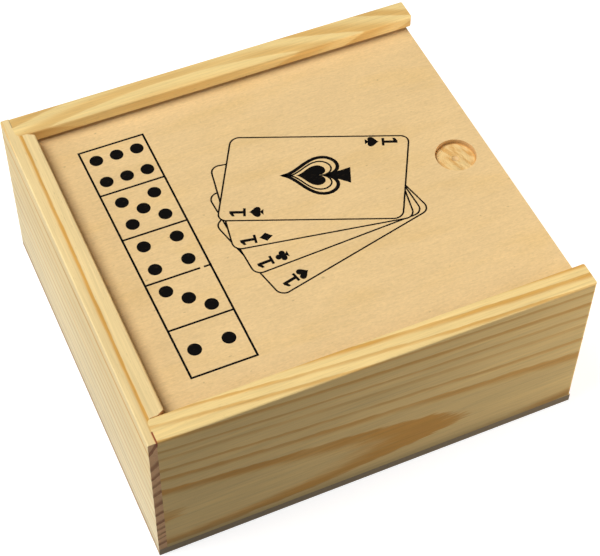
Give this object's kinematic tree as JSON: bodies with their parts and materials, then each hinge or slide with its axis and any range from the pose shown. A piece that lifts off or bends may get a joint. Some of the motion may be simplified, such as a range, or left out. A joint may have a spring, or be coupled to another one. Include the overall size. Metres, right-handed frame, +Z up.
{
  "type": "games compendium box",
  "caption": "Low square pine box with a plywood lid that slides out of grooves by a thumb recess, dividers inside, and cards, dominoes and dice in its bays.",
  "frame": {"origin": "middle of the underside of the bottom panel, on the surface the box stands on", "axes": "+X the way the lid slides out, towards the open low end; +Y towards the domino bay; +Z up"},
  "size_m": [0.16, 0.149, 0.07],
  "materials": {
    "pine": "sanded, unvarnished",
    "lid_plywood": "sanded smooth",
    "bottom_plywood": "sanded",
    "divider_plywood": "sanded",
    "brad_steel": "bright",
    "blue_board": "satin print",
    "red_board": "satin print",
    "card_paper": "smooth",
    "dice_plastic": "polished",
    "domino_beech": "tumbled smooth"
  },
  "bodies": {
    "box": {"front_wall": "pine", "back_wall": "pine", "left_end_wall": "pine", "right_end_wall": "pine", "bottom_panel": "bottom_plywood", "bottom_brads": "brad_steel", "long_divider": "divider_plywood", "short_divider": "divider_plywood", "lower_card_case": "blue_board", "lower_card_deck": "card_paper", "upper_card_case": "red_board", "upper_card_deck": "card_paper", "die_1": "dice_plastic", "die_2": "dice_plastic", "die_3": "dice_plastic", "die_4": "dice_plastic", "die_5": "dice_plastic", "domino_0_0": "domino_beech", "domino_1_0": "domino_beech", "domino_1_1": "domino_beech", "domino_2_0": "domino_beech", "domino_2_1": "domino_beech", "domino_2_2": "domino_beech", "domino_3_0": "domino_beech", "domino_3_1": "domino_beech", "domino_3_2": "domino_beech", "domino_3_3": "domino_beech", "domino_4_0": "domino_beech", "domino_4_1": "domino_beech", "domino_4_2": "domino_beech", "domino_4_3": "domino_beech", "domino_4_4": "domino_beech", "domino_5_0": "domino_beech", "domino_5_1": "domino_beech", "domino_5_2": "domino_beech", "domino_5_3": "domino_beech", "domino_5_4": "domino_beech", "domino_5_5": "domino_beech", "domino_6_0": "domino_beech", "domino_6_1": "domino_beech", "domino_6_2": "domino_beech", "domino_6_3": "domino_beech", "domino_6_4": "domino_beech", "domino_6_5": "domino_beech", "domino_6_6": "domino_beech"},
    "lid": {"lid": "lid_plywood"}
  },
  "joints": [
    {"name": "lid_slide", "type": "slide", "parent": "box", "child": "lid", "axis": [1, 0, 0], "range_m": [0, 0.16]}
  ]
}
